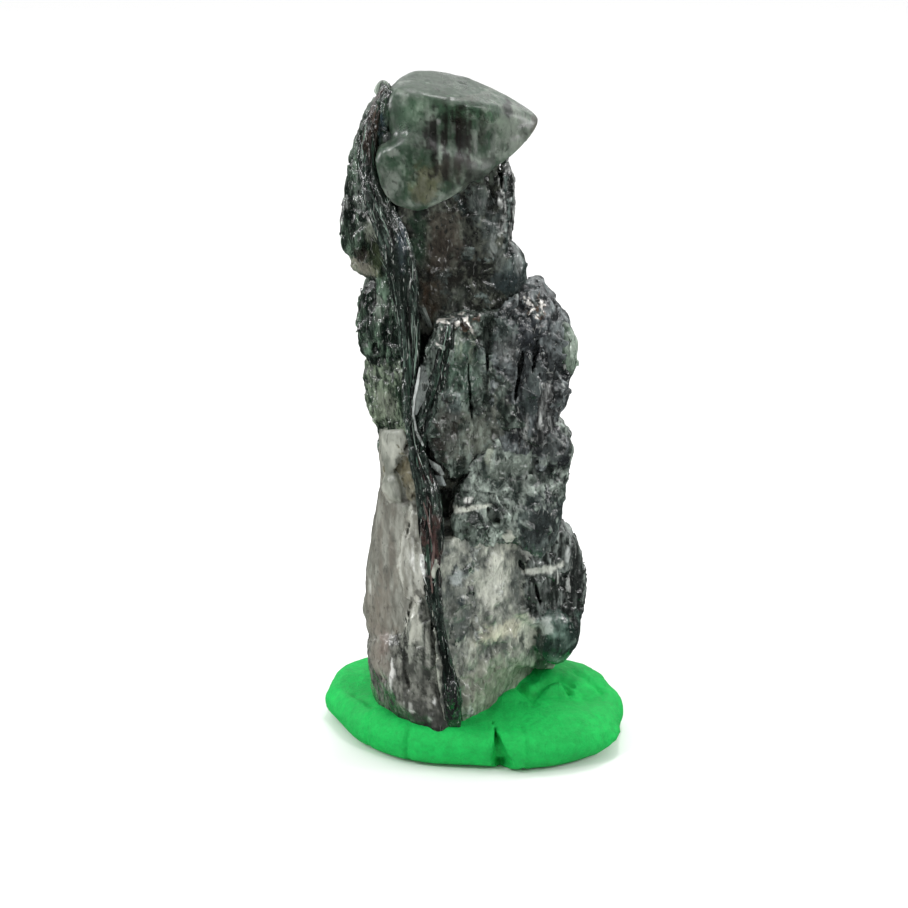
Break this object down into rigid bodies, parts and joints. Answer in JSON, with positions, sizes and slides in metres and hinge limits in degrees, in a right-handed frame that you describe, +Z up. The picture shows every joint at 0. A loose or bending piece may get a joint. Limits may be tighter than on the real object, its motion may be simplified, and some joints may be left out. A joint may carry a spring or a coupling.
{
  "type": "apatite crystal cluster",
  "caption": "Upright cluster of dark grey-green intergrown apatite crystals with a clear cap crystal, held in a pad of green modelling clay.",
  "frame": {"origin": "centre of the clay pad's footprint, on the surface that it rests on", "axes": "+Z up, along the cluster's long axis; +X along the pad's long side; -Y is the front, where the dark spine faces"},
  "size_m": [0.0228, 0.0154, 0.0491],
  "materials": {
    "apatite": "satin",
    "clear_apatite": "satin",
    "modelling_clay": "matte"
  },
  "bodies": {
    "root": {"crystal_cluster": "apatite", "modelling_clay": "modelling_clay"}
  },
  "joints": []
}
